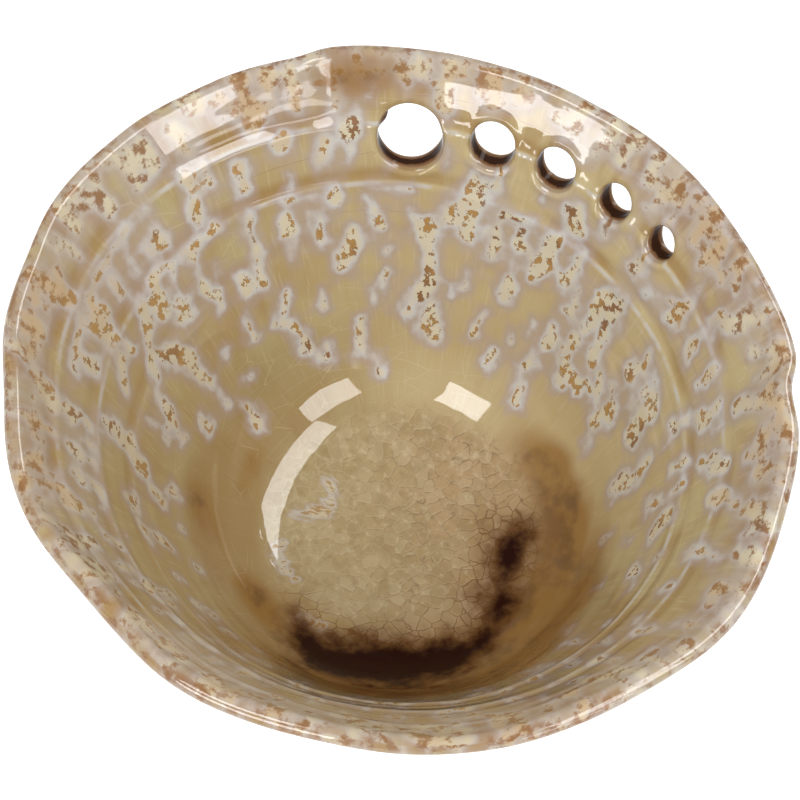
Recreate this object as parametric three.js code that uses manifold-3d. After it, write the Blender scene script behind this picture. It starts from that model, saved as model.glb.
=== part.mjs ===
// Wheel-thrown stoneware bowl with a wavy, slightly oval rim and a row of five pierced holes.
// Millimetres, +Z up. The origin is the middle of the foot, on the surface that the bowl stands on,
// and +Y points out through the fourth hole of the row.
import * as THREE from "three";
import { mergeVertices } from "three/addons/utils/BufferGeometryUtils.js";
import Module from "manifold-3d";

const wasm = await Module();
wasm.setup();

// Overall sizes
const RIM_DIAMETER = 222; // outside the lip, averaged round the oval
const HEIGHT = 125; // from the table to the top of the lip

// Thicknesses, across the wall
const CLAY_AT_LIP = 3.8;
const CLAY_AT_FLOOR = 6;
const GLAZE = 0.5;
const POOL_DEPTH = 2; // glass that ran down and gathered in the well
const GAP = 0.3; // clearance between one solid and the next

// Inside shape in section: a flat floor, a round and a wall that flares a little towards the lip
const FLOOR_RADIUS = 24;
const WELL_ROUND = 44;
const WALL_SLOPE = 64; // degrees from level, low on the wall
const RIM_SLOPE = 55; // degrees from level, at the lip
const POOL_REACH = 21; // how far the pool spreads past the flat floor
const RIM_BEAD_REACH = 4; // how far the rim's glaze comes down each side of the wall

// Foot and the edge of the outside glaze
const FOOT_DIAMETER = 84;
const FOOT_WIDTH = 8;
const FOOT_RECESS = 6; // height of the floor's underside above the table
const FOOT_BEVEL = 1;
const GLAZE_LINE = 17; // height where the outside glaze stops above the bare clay

// Hand-made shape: an oval and waves that are strongest at the rim
const OVAL_SWELL = 3.6;
const OVAL_AZIMUTH = 177; // degrees, one long end of the oval
const OVAL_DEPTH = 80; // how far down the oval dies away
const OVAL_FADE = 1.5; // power of its fading
const WAVE_DEPTH = 40; // how far down the waves die away
const WAVE_FADE = 2; // power of their fading
const RIM_DIP = 0.5; // the rim drops by this share of each outward wave
const RIM_WAVES = [
  // azimuth in degrees and swell in mm of each crest and hollow, read off the rim's outline by eye
  [4, 1.2], [23, -1.1], [33, -0.9], [40, -2.5], [47, 0.8], [64, -0.7], [89, 1.4], [102, 0.2],
  [129, 0.5], [144, 2], [151, -0.9], [164, 0.3], [179, 1.8], [194, 3.2], [206, 1], [214, 1.4],
  [226, -0.3], [244, 2.3], [264, -0.9], [281, 1.2], [304, -0.7], [322, -0.1], [344, -1.4],
];

// Row of holes, largest first, as shares of three sizes, and which of them is on +Y
const HOLE_DIAMETER = 20.2; // the largest
const HOLE_BELOW = 13.6; // from the rim down to a hole
const HOLE_WEB = 10; // wall left between a hole and the next
const HOLES = [
  { size: 1, below: 0.926, web: 0.88 },
  { size: 0.693, below: 1, web: 0.85 },
  { size: 0.634, below: 1.015, web: 1.08 },
  { size: 0.535, below: 1, web: 1.04, onY: true },
  { size: 0.485, below: 1.015, web: 0 },
];
const HOLE_TILT = 3; // degrees that each hole points down towards the outside
const HOLE_LINING = 0.6; // glaze inside the holes

// Facets
const TURN_STEPS = 60;
const ROUND_STEPS = 2; // from the floor to the pool's edge, and from there to the wall
const WALL_STEPS = 4;
const LIP_STEPS = 4;
const HOLE_STEPS = 20;
const SEARCH_STEPS = 40; // halvings when a place on the section is looked for

const wellHeight = FOOT_RECESS + CLAY_AT_FLOOR + GAP + POOL_DEPTH;
const lipRadius = CLAY_AT_LIP / 2 + GAP + GLAZE;
const lipCentre = new THREE.Vector2(RIM_DIAMETER / 2 - lipRadius, HEIGHT - lipRadius);
const wallSlope = THREE.MathUtils.degToRad(WALL_SLOPE);
const rimSlope = THREE.MathUtils.degToRad(RIM_SLOPE);
const inside = insideCurve();
const insideLength = inside.getLength();
const roundEnd = FLOOR_RADIUS + WELL_ROUND * wallSlope;
const poolEnd = alongWhere((along) => section(along, 0).x, FLOOR_RADIUS + POOL_REACH);
const glazeEnd = alongWhere((along) => section(along, glassOutside(along)).y, GLAZE_LINE);
const beadStart = insideLength - RIM_BEAD_REACH;
const stations = sharedStations();
const holes = HOLES.map(({ size, below, web }) => ({
  diameter: HOLE_DIAMETER * size,
  below: HOLE_BELOW * below,
  web: HOLE_WEB * web,
}));

// The glass surface inside the bowl, from the middle of the floor to the lip
function insideCurve() {
  const curve = new THREE.Path();
  curve.moveTo(0, wellHeight);
  curve.lineTo(FLOOR_RADIUS, wellHeight);
  const roundCentre = wellHeight + WELL_ROUND;
  curve.absarc(FLOOR_RADIUS, roundCentre, WELL_ROUND, -Math.PI / 2, wallSlope - Math.PI / 2, false);
  const start = curve.currentPoint.clone();
  const rimSide = new THREE.Vector2(-Math.sin(rimSlope), Math.cos(rimSlope));
  const end = lipCentre.clone().addScaledVector(rimSide, lipRadius);
  const reach = start.distanceTo(end) / 3;
  curve.bezierCurveTo(
    start.x + reach * Math.cos(wallSlope), start.y + reach * Math.sin(wallSlope),
    end.x - reach * Math.cos(rimSlope), end.y - reach * Math.sin(rimSlope),
    end.x, end.y,
  );
  return curve;
}

// A point of the section: so far along the inside from the middle, and so deep into the wall
function section(along, depth) {
  const u = THREE.MathUtils.clamp(along / insideLength, 0, 1);
  const point = inside.getPointAt(u);
  const tangent = inside.getTangentAt(u);
  return new THREE.Vector2(Math.max(0, point.x + tangent.y * depth), point.y - tangent.x * depth);
}

// Depths of the four faces between glass and clay
function clayInside(along) {
  const pooled = 1 - THREE.MathUtils.smoothstep(along, FLOOR_RADIUS, poolEnd);
  return THREE.MathUtils.lerp(GLAZE, POOL_DEPTH, pooled) + GAP;
}

function clayOutside(along) {
  const share = THREE.MathUtils.clamp((along - FLOOR_RADIUS) / (insideLength - FLOOR_RADIUS), 0, 1);
  return clayInside(along) + THREE.MathUtils.lerp(CLAY_AT_FLOOR, CLAY_AT_LIP, share);
}

function glassInside() {
  return 0;
}

function glassInsideBack(along) {
  return clayInside(along) - GAP;
}

function glassOutsideBack(along) {
  return clayOutside(along) + GAP;
}

function glassOutside(along) {
  return clayOutside(along) + GAP + GLAZE;
}

// Distance along the inside where a measure that grows towards the lip reaches a value
function alongWhere(measure, value) {
  let low = 0;
  let high = insideLength;
  for (let step = 0; step < SEARCH_STEPS; step += 1) {
    const middle = (low + high) / 2;
    if (measure(middle) < value) low = middle;
    else high = middle;
  }
  return low;
}

// Stations along the inside that every layer shares, so that their facets stay parallel
function sharedStations() {
  const list = [
    0,
    ...spread(FLOOR_RADIUS, poolEnd, ROUND_STEPS),
    ...spread(poolEnd, roundEnd, ROUND_STEPS),
    ...spread(roundEnd, beadStart, WALL_STEPS),
    insideLength,
  ];
  const sorted = list.sort((a, b) => a - b);
  return sorted.filter((along, i) => i === 0 || along - sorted[i - 1] > GAP);
}

function spread(from, to, steps) {
  return Array.from({ length: steps + 1 }, (_, step) => THREE.MathUtils.lerp(from, to, step / steps));
}

// One face of a layer between two stations, outwards and upwards
function face(depthAt, from, to) {
  const inner = stations.filter((along) => along > from + GAP && along < to - GAP);
  return [from, ...inner, to].map((along) => section(along, depthAt(along)));
}

// Round over the lip from the outside to the inside
function lipArc(radius) {
  const points = [];
  for (let step = 1; step < LIP_STEPS; step += 1) {
    const angle = rimSlope - Math.PI / 2 + (Math.PI * step) / LIP_STEPS;
    points.push(new THREE.Vector2(Math.cos(angle), Math.sin(angle)).multiplyScalar(radius).add(lipCentre));
  }
  return points;
}

// Swell of the rim's waves at an angle, easing from each crest to the next hollow
function waveAt(angle) {
  const degrees = THREE.MathUtils.euclideanModulo(THREE.MathUtils.radToDeg(angle), 360);
  const next = RIM_WAVES.findIndex(([azimuth]) => azimuth > degrees);
  const [toAzimuth, toSwell] = RIM_WAVES[next < 0 ? 0 : next];
  const [fromAzimuth, fromSwell] = RIM_WAVES.at(next < 0 ? -1 : next - 1);
  const span = THREE.MathUtils.euclideanModulo(toAzimuth - fromAzimuth, 360);
  const share = THREE.MathUtils.euclideanModulo(degrees - fromAzimuth, 360) / span;
  return THREE.MathUtils.lerp(fromSwell, toSwell, (1 - Math.cos(Math.PI * share)) / 2);
}

// The potter's hand: moves a point of the round bowl to its place on the oval, wavy one
function shaped(radius, angle, height) {
  const depth = HEIGHT - height;
  const ovalShare = Math.max(0, 1 - depth / OVAL_DEPTH) ** OVAL_FADE;
  const waveShare = Math.max(0, 1 - depth / WAVE_DEPTH) ** WAVE_FADE;
  const wave = waveShare * waveAt(angle);
  const oval = ovalShare * OVAL_SWELL * Math.cos(2 * (angle - THREE.MathUtils.degToRad(OVAL_AZIMUTH)));
  const out = radius + oval + wave;
  return new THREE.Vector3(out * Math.cos(angle), out * Math.sin(angle), height - RIM_DIP * wave);
}

// A section turned round the axis and given the hand-made shape
function turned(profile) {
  const geometry = new THREE.LatheGeometry(profile, TURN_STEPS);
  const position = geometry.getAttribute("position");
  for (let i = 0; i < position.count; i += 1) {
    const radius = Math.hypot(position.getX(i), position.getZ(i));
    const angle = Math.atan2(-position.getZ(i), position.getX(i));
    const place = shaped(radius, angle, position.getY(i));
    position.setXYZ(i, place.x, place.y, place.z);
  }
  geometry.setIndex(alikeCorners(profile));
  return asSolid(geometry);
}

// Triangles of a turned profile, cut along the same diagonal on faces that rise and faces that fall,
// so that the layers of a warped wall stay parallel
function alikeCorners(profile) {
  const corners = [];
  for (let turn = 0; turn < TURN_STEPS; turn += 1) {
    for (let i = 0; i < profile.length - 1; i += 1) {
      const a = turn * profile.length + i;
      const b = a + profile.length;
      const rises = profile[i + 1].y > profile[i].y;
      if (rises) corners.push(a, b, a + 1, b + 1, a + 1, b);
      else corners.push(a, b, b + 1, a, b + 1, a + 1);
    }
  }
  return corners;
}

function ring(profile) {
  return turned([...profile, profile[0].clone()]);
}

function asSolid(geometry) {
  const bare = geometry.clone();
  bare.deleteAttribute("normal");
  bare.deleteAttribute("uv");
  const merged = mergeVertices(bare);
  const corners = merged.getIndex().array;
  const triangles = [];
  for (let i = 0; i < corners.length; i += 3) {
    const [a, b, c] = corners.slice(i, i + 3);
    if (a !== b && b !== c && c !== a) triangles.push(a, b, c);
  }
  const mesh = new wasm.Mesh({
    numProp: 3,
    vertProperties: Float32Array.from(merged.getAttribute("position").array),
    triVerts: Uint32Array.from(triangles),
  });
  return new wasm.Manifold(mesh);
}

function asGeometry(solid) {
  const mesh = solid.getMesh();
  const geometry = new THREE.BufferGeometry();
  geometry.setAttribute("position", new THREE.BufferAttribute(mesh.vertProperties, 3));
  geometry.setIndex(new THREE.BufferAttribute(mesh.triVerts, 1));
  geometry.computeVertexNormals();
  return geometry;
}

// Middle of the wall at one hole, in the section
function holeMiddle(hole) {
  const height = HEIGHT - hole.below - hole.diameter / 2;
  const along = alongWhere((place) => section(place, glassOutside(place) / 2).y, height);
  return { point: section(along, glassOutside(along) / 2), wall: glassOutside(along) };
}

// Angle of one hole, stepped off along the wall from the hole on +Y
function holeAngle(index) {
  const start = HOLES.findIndex((hole) => hole.onY);
  const step = Math.sign(index - start);
  let angle = Math.PI / 2;
  for (let i = start; i !== index; i += step) {
    const apart = (holes[i].diameter + holes[i + step].diameter) / 2 + holes[Math.min(i, i + step)].web;
    angle -= (step * apart) / holeMiddle(holes[index]).point.x;
  }
  return angle;
}

// A round cutter along one hole's axis, so much wider all round than the open hole
function holeCutter(index, wider) {
  const hole = holes[index];
  const { point, wall } = holeMiddle(hole);
  const angle = holeAngle(index);
  const tilt = THREE.MathUtils.degToRad(HOLE_TILT);
  const radius = hole.diameter / 2 + wider;
  const cutter = new THREE.CylinderGeometry(radius, radius, 2 * (hole.diameter + wall), HOLE_STEPS);
  const axis = new THREE.Vector3(Math.cos(angle), Math.sin(angle), -Math.tan(tilt)).normalize();
  cutter.applyQuaternion(new THREE.Quaternion().setFromUnitVectors(new THREE.Vector3(0, 1, 0), axis));
  const place = shaped(point.x, angle, point.y);
  cutter.translate(place.x, place.y, place.z);
  return asSolid(cutter);
}

// The same layer with a way left through it for every hole and its lining
function pierced(solid) {
  return holes.reduce((rest, _, index) => rest.subtract(holeCutter(index, HOLE_LINING + GAP)), solid);
}

// Thrown clay: floor, wall and lip in one piece
function clayBody() {
  return pierced(turned([
    ...underside(),
    ...lipArc(CLAY_AT_LIP / 2),
    ...face(clayInside, 0, insideLength).reverse(),
  ]));
}

// Ring of clay luted under the floor, with bevelled edges to stand on
function footRing() {
  const outer = FOOT_DIAMETER / 2;
  const inner = outer - FOOT_WIDTH;
  const kinks = underside().map((point) => point.x).filter((x) => x > inner + GAP && x < outer - GAP);
  const seat = [inner, ...kinks, outer].map((x) => new THREE.Vector2(x, undersideAt(x) - GAP));
  return ring([
    new THREE.Vector2(inner, FOOT_BEVEL),
    new THREE.Vector2(inner + FOOT_BEVEL, 0),
    new THREE.Vector2(outer - FOOT_BEVEL, 0),
    new THREE.Vector2(outer, FOOT_BEVEL),
    ...seat.reverse(),
  ]);
}

// The clay's outside in section, from the middle of the underside to the lip
function underside() {
  return face(clayOutside, 0, insideLength);
}

// Height of the clay's faceted underside over a radius
function undersideAt(radius) {
  const under = underside();
  const next = under.findIndex((point) => point.x > radius);
  const share = (radius - under[next - 1].x) / (under[next].x - under[next - 1].x);
  return THREE.MathUtils.lerp(under[next - 1].y, under[next].y, share);
}

function innerGlaze() {
  return pierced(ring([
    ...face(glassInsideBack, poolEnd + GAP, beadStart - GAP),
    ...face(glassInside, poolEnd + GAP, beadStart - GAP).reverse(),
  ]));
}

function outerGlaze() {
  return pierced(ring([
    ...face(glassOutside, glazeEnd, beadStart - GAP),
    ...face(glassOutsideBack, glazeEnd, beadStart - GAP).reverse(),
  ]));
}

// Glaze that covers the lip and comes down a little on both sides
function rimGlaze() {
  return ring([
    ...face(glassOutside, beadStart, insideLength),
    ...lipArc(lipRadius),
    ...face(glassInside, beadStart, insideLength).reverse(),
    ...face(glassInsideBack, beadStart, insideLength),
    ...lipArc(lipRadius - GLAZE).reverse(),
    ...face(glassOutsideBack, beadStart, insideLength).reverse(),
  ]);
}

function wellGlazePool() {
  return turned([
    ...face(glassInsideBack, 0, poolEnd),
    ...face(glassInside, 0, poolEnd).reverse(),
  ]);
}

// Clay and glaze together, to shape the ends of the linings
function wholeWall() {
  return ring([
    ...face(glassOutside, roundEnd, beadStart - GAP),
    ...face(glassInside, roundEnd, beadStart - GAP).reverse(),
  ]);
}

// Sleeve of glaze through the whole thickness of the wall
function holeGlaze(index, wall) {
  return wall.intersect(holeCutter(index, HOLE_LINING)).subtract(holeCutter(index, 0));
}

const bareClay = new THREE.MeshStandardMaterial({ color: 0xb3956f, roughness: 0.85, metalness: 0 });
const khakiGlass = new THREE.MeshStandardMaterial({ color: 0xb79f73, roughness: 0.12, metalness: 0 });
const amberGlass = new THREE.MeshStandardMaterial({ color: 0xa9865a, roughness: 0.15, metalness: 0 });
const poolGlass = new THREE.MeshStandardMaterial({ color: 0xa58f6a, roughness: 0.08, metalness: 0 });
const darkGlass = new THREE.MeshStandardMaterial({ color: 0x4b3324, roughness: 0.2, metalness: 0 });

const bowl = new THREE.Group();

function addPiece(name, solid, material) {
  const mesh = new THREE.Mesh(asGeometry(solid), material);
  mesh.name = name;
  bowl.add(mesh);
}

addPiece("clay_body", clayBody(), bareClay);
addPiece("foot_ring", footRing(), bareClay);
addPiece("inner_glaze", innerGlaze(), khakiGlass);
addPiece("outer_glaze", outerGlaze(), khakiGlass);
addPiece("rim_glaze", rimGlaze(), amberGlass);
addPiece("well_glaze_pool", wellGlazePool(), poolGlass);
const wall = wholeWall();
holes.forEach((_, index) => addPiece(`hole_glaze_${index + 1}`, holeGlaze(index, wall), darkGlass));

export default bowl;
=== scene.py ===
"""Looks of a wheel-thrown stoneware bowl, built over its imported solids.

Shapes are worked out in millimetres from the same sizes as the solids. One fine skin runs from the
middle of the well, up the inside, over the lip and down the outside, and is cut into the pieces that
stand for the layers of glass. The clay under it is a second skin, and the foot is turned by itself.
"""

import math
from types import SimpleNamespace

import bpy
import numpy as np
from mathutils import Matrix


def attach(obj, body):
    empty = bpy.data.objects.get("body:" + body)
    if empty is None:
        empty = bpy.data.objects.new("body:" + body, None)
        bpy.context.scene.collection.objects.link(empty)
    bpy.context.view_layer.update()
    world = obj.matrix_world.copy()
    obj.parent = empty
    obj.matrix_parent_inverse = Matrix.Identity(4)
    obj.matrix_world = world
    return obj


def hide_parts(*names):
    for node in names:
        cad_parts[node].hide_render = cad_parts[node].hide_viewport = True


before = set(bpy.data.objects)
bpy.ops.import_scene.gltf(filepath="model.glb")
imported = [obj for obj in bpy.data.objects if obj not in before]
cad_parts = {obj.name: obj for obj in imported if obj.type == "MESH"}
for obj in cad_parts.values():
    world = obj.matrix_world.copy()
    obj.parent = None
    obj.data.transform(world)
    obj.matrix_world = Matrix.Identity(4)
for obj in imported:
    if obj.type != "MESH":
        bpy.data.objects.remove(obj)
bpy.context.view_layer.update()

MM = 0.001

# Sizes of the solids
RIM_DIAMETER = 222
HEIGHT = 125
CLAY_AT_LIP = 3.8
CLAY_AT_FLOOR = 6
GLAZE = 0.5
POOL_DEPTH = 2
GAP = 0.3
FLOOR_RADIUS = 24
WELL_ROUND = 44
WALL_SLOPE = math.radians(64)
RIM_SLOPE = math.radians(55)
POOL_REACH = 21
RIM_BEAD_REACH = 4
FOOT_DIAMETER = 84
FOOT_WIDTH = 8
FOOT_RECESS = 6
GLAZE_LINE = 17
OVAL_SWELL = 3.6
OVAL_AZIMUTH = math.radians(177)
OVAL_DEPTH = 80
OVAL_FADE = 1.5
WAVE_DEPTH = 40
WAVE_FADE = 2
RIM_DIP = 0.5
# Azimuth in degrees and swell of each crest and hollow of the rim
RIM_WAVES = [
    (4, 1.2), (23, -1.1), (33, -0.9), (40, -2.5), (47, 0.8), (64, -0.7), (89, 1.4), (102, 0.2),
    (129, 0.5), (144, 2), (151, -0.9), (164, 0.3), (179, 1.8), (194, 3.2), (206, 1), (214, 1.4),
    (226, -0.3), (244, 2.3), (264, -0.9), (281, 1.2), (304, -0.7), (322, -0.1), (344, -1.4),
]
# Diameter, depth below the rim and wall left to the next hole; the fourth hole is on +Y
HOLES = [(20.2, 12.6, 8.8), (14, 13.6, 8.5), (12.8, 13.8, 10.8), (10.8, 13.6, 10.4), (9.8, 13.8, 0)]
HOLE_ON_Y = 3
HOLE_TILT = math.radians(3)
HOLE_LINING = 0.6

# Fineness: steps round each skin, rows along it, the first row's distance from the pole, and rings at a hole
GLASS_TURN_STEPS = 600
CLAY_TURN_STEPS = 240
FOOT_TURN_STEPS = 240
GLASS_ROWS = {"pool": 34, "wall": 108, "bead": 5, "lip": 15, "roll": 6}
CLAY_ROWS = {"floor": 16, "wall": 60, "lip": 9}
GLASS_POLE = 0.7
CLAY_POLE = 2
MOUTH_RINGS = 6
ROLL_RINGS = 5
BORE_RINGS = 7
MEET_ROUNDS = 12

WELL_HEIGHT = FOOT_RECESS + CLAY_AT_FLOOR + GAP + POOL_DEPTH
LIP_RADIUS = CLAY_AT_LIP / 2 + GAP + GLAZE
LIP_CENTRE = np.array([RIM_DIAMETER / 2 - LIP_RADIUS, HEIGHT - LIP_RADIUS])
LIP_TURN = math.pi * LIP_RADIUS


def placed(name, data):
    """A new object in the scene."""
    made = bpy.data.objects.new(name, data)
    bpy.context.scene.collection.objects.link(made)
    return made


def smooth(value, low, high):
    share = np.clip((value - low) / (high - low), 0, 1)
    return share * share * (3 - 2 * share)


def mix(a, b, share):
    return a + (b - a) * share


def bell(value, middle, half_width):
    return np.exp(-((value - middle) / half_width) ** 2)


def waves(theta, rows):
    """Waves round the bowl, in rows of height, number of turns and phase."""
    return sum(height * np.sin(turns * theta + phase) for height, turns, phase in rows)


def turn_from(theta, azimuth):
    """Degrees from an azimuth, between -180 and 180."""
    return (np.degrees(theta) - azimuth + 180) % 360 - 180


# The section, as the solids have it

def inside_samples():
    """Points and headings of the inside, from the middle of the floor to the lip."""
    floor = np.column_stack([np.linspace(0, FLOOR_RADIUS, 80), np.full(80, WELL_HEIGHT)])
    turn = np.linspace(0, WALL_SLOPE, 240)[1:, None]
    middle = np.array([FLOOR_RADIUS, WELL_HEIGHT + WELL_ROUND])
    arc = middle + WELL_ROUND * np.hstack([np.sin(turn), -np.cos(turn)])
    start = arc[-1]
    end = LIP_CENTRE + LIP_RADIUS * np.array([-math.sin(RIM_SLOPE), math.cos(RIM_SLOPE)])
    reach = np.linalg.norm(end - start) / 3
    leave = start + reach * np.array([math.cos(WALL_SLOPE), math.sin(WALL_SLOPE)])
    arrive = end - reach * np.array([math.cos(RIM_SLOPE), math.sin(RIM_SLOPE)])
    t = np.linspace(0, 1, 400)[1:, None]
    wall = (1 - t) ** 3 * start + 3 * (1 - t) ** 2 * t * leave
    wall = wall + 3 * (1 - t) * t ** 2 * arrive + t ** 3 * end
    points = np.vstack([floor, arc, wall])
    along = np.concatenate([[0], np.cumsum(np.linalg.norm(np.diff(points, axis=0), axis=1))])
    heading = np.gradient(points, along, axis=0)
    return along, points, heading / np.linalg.norm(heading, axis=1, keepdims=True)


ALONG, INSIDE, HEADING = inside_samples()
LENGTH = ALONG[-1]
POOL_END = np.interp(FLOOR_RADIUS + POOL_REACH, INSIDE[:, 0], ALONG)
LIP_RUN = LENGTH + LIP_TURN / 2


def clay_inside(along):
    pooled = 1 - smooth(along, FLOOR_RADIUS, POOL_END)
    return mix(GLAZE, POOL_DEPTH, pooled) + GAP


def glass_outside(along):
    share = np.clip((along - FLOOR_RADIUS) / (LENGTH - FLOOR_RADIUS), 0, 1)
    return clay_inside(along) + mix(CLAY_AT_FLOOR, CLAY_AT_LIP, share) + GAP + GLAZE


def on_inside(along):
    """Radius, height and heading of the inside at a distance along it."""
    return [np.interp(along, ALONG, column) for column in (*INSIDE.T, *HEADING.T)]


def outside_run(along):
    """The run of a place on the outside that is across the wall from a place on the inside."""
    return LENGTH + LIP_TURN + LENGTH - along


def section(run, clay):
    """Radius, height and the direction out of the surface at a run, before the hand-made shape."""
    outside = run > LENGTH + LIP_TURN
    along = np.clip(np.where(outside, 2 * LENGTH + LIP_TURN - run, run), 0, LENGTH)
    r, z, head_r, head_z = on_inside(along)
    back = clay_inside(along) if clay else 0
    front = glass_outside(along) - (GAP + GLAZE if clay else 0)
    depth = np.where(outside, front, back)
    side = np.where(outside, 1, -1)
    on_lip = (run > LENGTH) & ~outside
    turn = math.pi / 2 + RIM_SLOPE - (run - LENGTH) / LIP_RADIUS
    radius = CLAY_AT_LIP / 2 if clay else LIP_RADIUS
    r = np.where(on_lip, LIP_CENTRE[0] + radius * np.cos(turn), r + head_z * depth)
    z = np.where(on_lip, LIP_CENTRE[1] + radius * np.sin(turn), z - head_r * depth)
    out_r = np.where(on_lip, np.cos(turn), side * head_z)
    out_z = np.where(on_lip, np.sin(turn), -side * head_r)
    return r, z, out_r, out_z


def wave_at(theta):
    """Swell of the rim at an angle, eased from each crest or hollow to the next."""
    azimuths, swells = np.array(RIM_WAVES).T
    azimuths = np.concatenate([[azimuths[-1] - 360], azimuths, [azimuths[0] + 360]])
    swells = np.concatenate([[swells[-1]], swells, [swells[0]]])
    degrees = np.degrees(theta) % 360
    last = np.searchsorted(azimuths, degrees, side="right") - 1
    share = (degrees - azimuths[last]) / (azimuths[last + 1] - azimuths[last])
    return mix(swells[last], swells[last + 1], (1 - np.cos(math.pi * share)) / 2)


def shaped(theta, r, z):
    """The potter's hand: a point of the round bowl moved to its place on the oval, wavy one."""
    below = HEIGHT - z
    oval = np.maximum(0, 1 - below / OVAL_DEPTH) ** OVAL_FADE * OVAL_SWELL
    wave = np.maximum(0, 1 - below / WAVE_DEPTH) ** WAVE_FADE * wave_at(theta)
    out = r + oval * np.cos(2 * (theta - OVAL_AZIMUTH)) + wave
    return np.stack([out * np.cos(theta), out * np.sin(theta), z - RIM_DIP * wave], axis=-1)


# The holes

def hole_frames():
    """Each hole's angle, radius, middle, axes and the runs of its two mouths."""
    found = []
    along = np.linspace(POOL_END, LENGTH, 4000)
    r, z, head_r, head_z = on_inside(along)
    half_wall = glass_outside(along) / 2
    middle_r = r + head_z * half_wall
    middle_z = z - head_r * half_wall
    for index, (diameter, below, _) in enumerate(HOLES):
        height = HEIGHT - below - diameter / 2
        radius = np.interp(height, middle_z, middle_r)
        place = np.interp(height, middle_z, along)
        step = 1 if index > HOLE_ON_Y else -1
        angle = math.pi / 2
        for i in range(HOLE_ON_Y, index, step):
            apart = (HOLES[i][0] + HOLES[i + step][0]) / 2 + HOLES[min(i, i + step)][2]
            angle -= step * apart / radius
        axis = np.array([math.cos(angle), math.sin(angle), -math.tan(HOLE_TILT)])
        axis /= np.linalg.norm(axis)
        across = np.array([-math.sin(angle), math.cos(angle), 0])
        found.append(SimpleNamespace(
            angle=angle, radius=diameter / 2, middle=shaped(angle, radius, height),
            runs=(place, outside_run(place)), axes=np.array([across, np.cross(axis, across), axis]),
        ))
    return found


HOLE_FRAMES = hole_frames()


def in_hole(hole, points):
    """Points in a hole's own axes: across, up and out along it."""
    return (points - hole.middle) @ hole.axes.T


def skin_in_hole(hole, theta, run, clay):
    return in_hole(hole, skin(theta, run, clay))


# Relief: what fingers, fire and running glass left on the smooth shape

LEDGE_AZIMUTH = math.radians(180)
LEDGE_BELOW = 21.3
LEDGE_PITCH = 20.6
LEDGE_HEIGHT = 0.3
# Distance past the ledge and half width of its crest and of the deeper groove above it
LEDGE_CREST = (1.6, 2)
LEDGE_GROOVE = (-2.6, 2.8)
CREST_TO_GROOVE = 0.8
LEDGE_STARTS = (8, 16)
LEDGE_ENDS = (52, 66)
# Height, turns round the bowl, length down the wall and phase of slow swells left by the fingers
SWELLS = [
    (0.16, 3, 17, 0.4), (0.12, 5, -23, 2.1), (0.08, 9, 9, 4), (0.06, 14, -7.5, 1.2), (0.04, 23, 5.2, 0.7),
]
SWELLS_END = (95, 115)
RING_HEIGHT = 0.12
RING_PITCH = 8.5
RING_SHARE_INSIDE = 0.3
HOLE_BEAD_HEIGHT = 0.42
HOLE_BEAD_AWAY = 2.0
HOLE_BEAD_WIDTH = 1.2
# Further out along a hole's axis than this is the other side of the bowl
NEAR_HOLE = 25


def below_lip(run):
    return np.abs(run - LIP_RUN)


def past_ledge(theta, run):
    """Distance down from the nearest turn of the spiral ledge that a finger left on the inside."""
    turns = (below_lip(run) - LEDGE_BELOW) / LEDGE_PITCH + (theta - LEDGE_AZIMUTH) / (2 * math.pi)
    return (turns - np.round(turns)) * LEDGE_PITCH


def ledge_fade(run):
    below = below_lip(run)
    return np.where(run < LIP_RUN, smooth(below, *LEDGE_STARTS) * (1 - smooth(below, *LEDGE_ENDS)), 0)


def relief(theta, run):
    """Height of the ledge, the slow swells and the throwing rings."""
    below = below_lip(run)
    past = past_ledge(theta, run)
    ledge = CREST_TO_GROOVE * bell(past, *LEDGE_CREST) - bell(past, *LEDGE_GROOVE)
    slow = 0
    for height, turns, length, phase in SWELLS:
        slow = slow + height * np.sin(turns * theta + below / length + phase)
    quiet = 1 - smooth(below, *SWELLS_END)
    rings = RING_HEIGHT * np.sin(2 * math.pi * below / RING_PITCH + theta + 0.6 * np.sin(2 * theta))
    rings = np.where(run > LIP_RUN, rings, RING_SHARE_INSIDE * rings * quiet)
    return LEDGE_HEIGHT * ledge_fade(run) * ledge + slow * quiet + rings


def hole_bead(theta, r, z, clay):
    """The glass stands a little proud round each hole."""
    if clay:
        return 0
    points = shaped(theta, r, z)
    total = 0
    for hole in HOLE_FRAMES:
        across, up, out = np.moveaxis(in_hole(hole, points), -1, 0)
        away = np.hypot(across, up) - hole.radius
        bead = HOLE_BEAD_HEIGHT * bell(away, HOLE_BEAD_AWAY, HOLE_BEAD_WIDTH)
        total = total + np.where(np.abs(out) < NEAR_HOLE, bead, 0)
    return total


def skin(theta, run, clay=False, sink=0):
    """Points of the surface. run counts from the middle of the well, over the lip and down the outside."""
    r, z, out_r, out_z = section(run, clay)
    lift = relief(theta, run) + hole_bead(theta, r, z, clay) - sink
    return shaped(theta, r + out_r * lift, z + out_z * lift)


def meet(hole, radius, angle, run, clay):
    """Where the surface near a run meets a cylinder round a hole's axis, at each angle round it."""
    goal = radius * np.stack([np.cos(angle), np.sin(angle)], axis=-1)
    theta = np.full(len(angle), hole.angle)
    run = np.full(len(angle), float(run))
    small = 0.01
    for _ in range(MEET_ROUNDS):
        here = skin_in_hole(hole, theta, run, clay)[:, :2]
        by_theta = (skin_in_hole(hole, theta + small / 100, run, clay)[:, :2] - here) / (small / 100)
        by_run = (skin_in_hole(hole, theta, run + small, clay)[:, :2] - here) / small
        short = goal - here
        area = by_theta[:, 0] * by_run[:, 1] - by_theta[:, 1] * by_run[:, 0]
        theta = theta + (short[:, 0] * by_run[:, 1] - short[:, 1] * by_run[:, 0]) / area
        run = run + (by_theta[:, 0] * short[:, 1] - by_theta[:, 1] * short[:, 0]) / area
    return theta, run


# Weaving a skin with its holes

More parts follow.
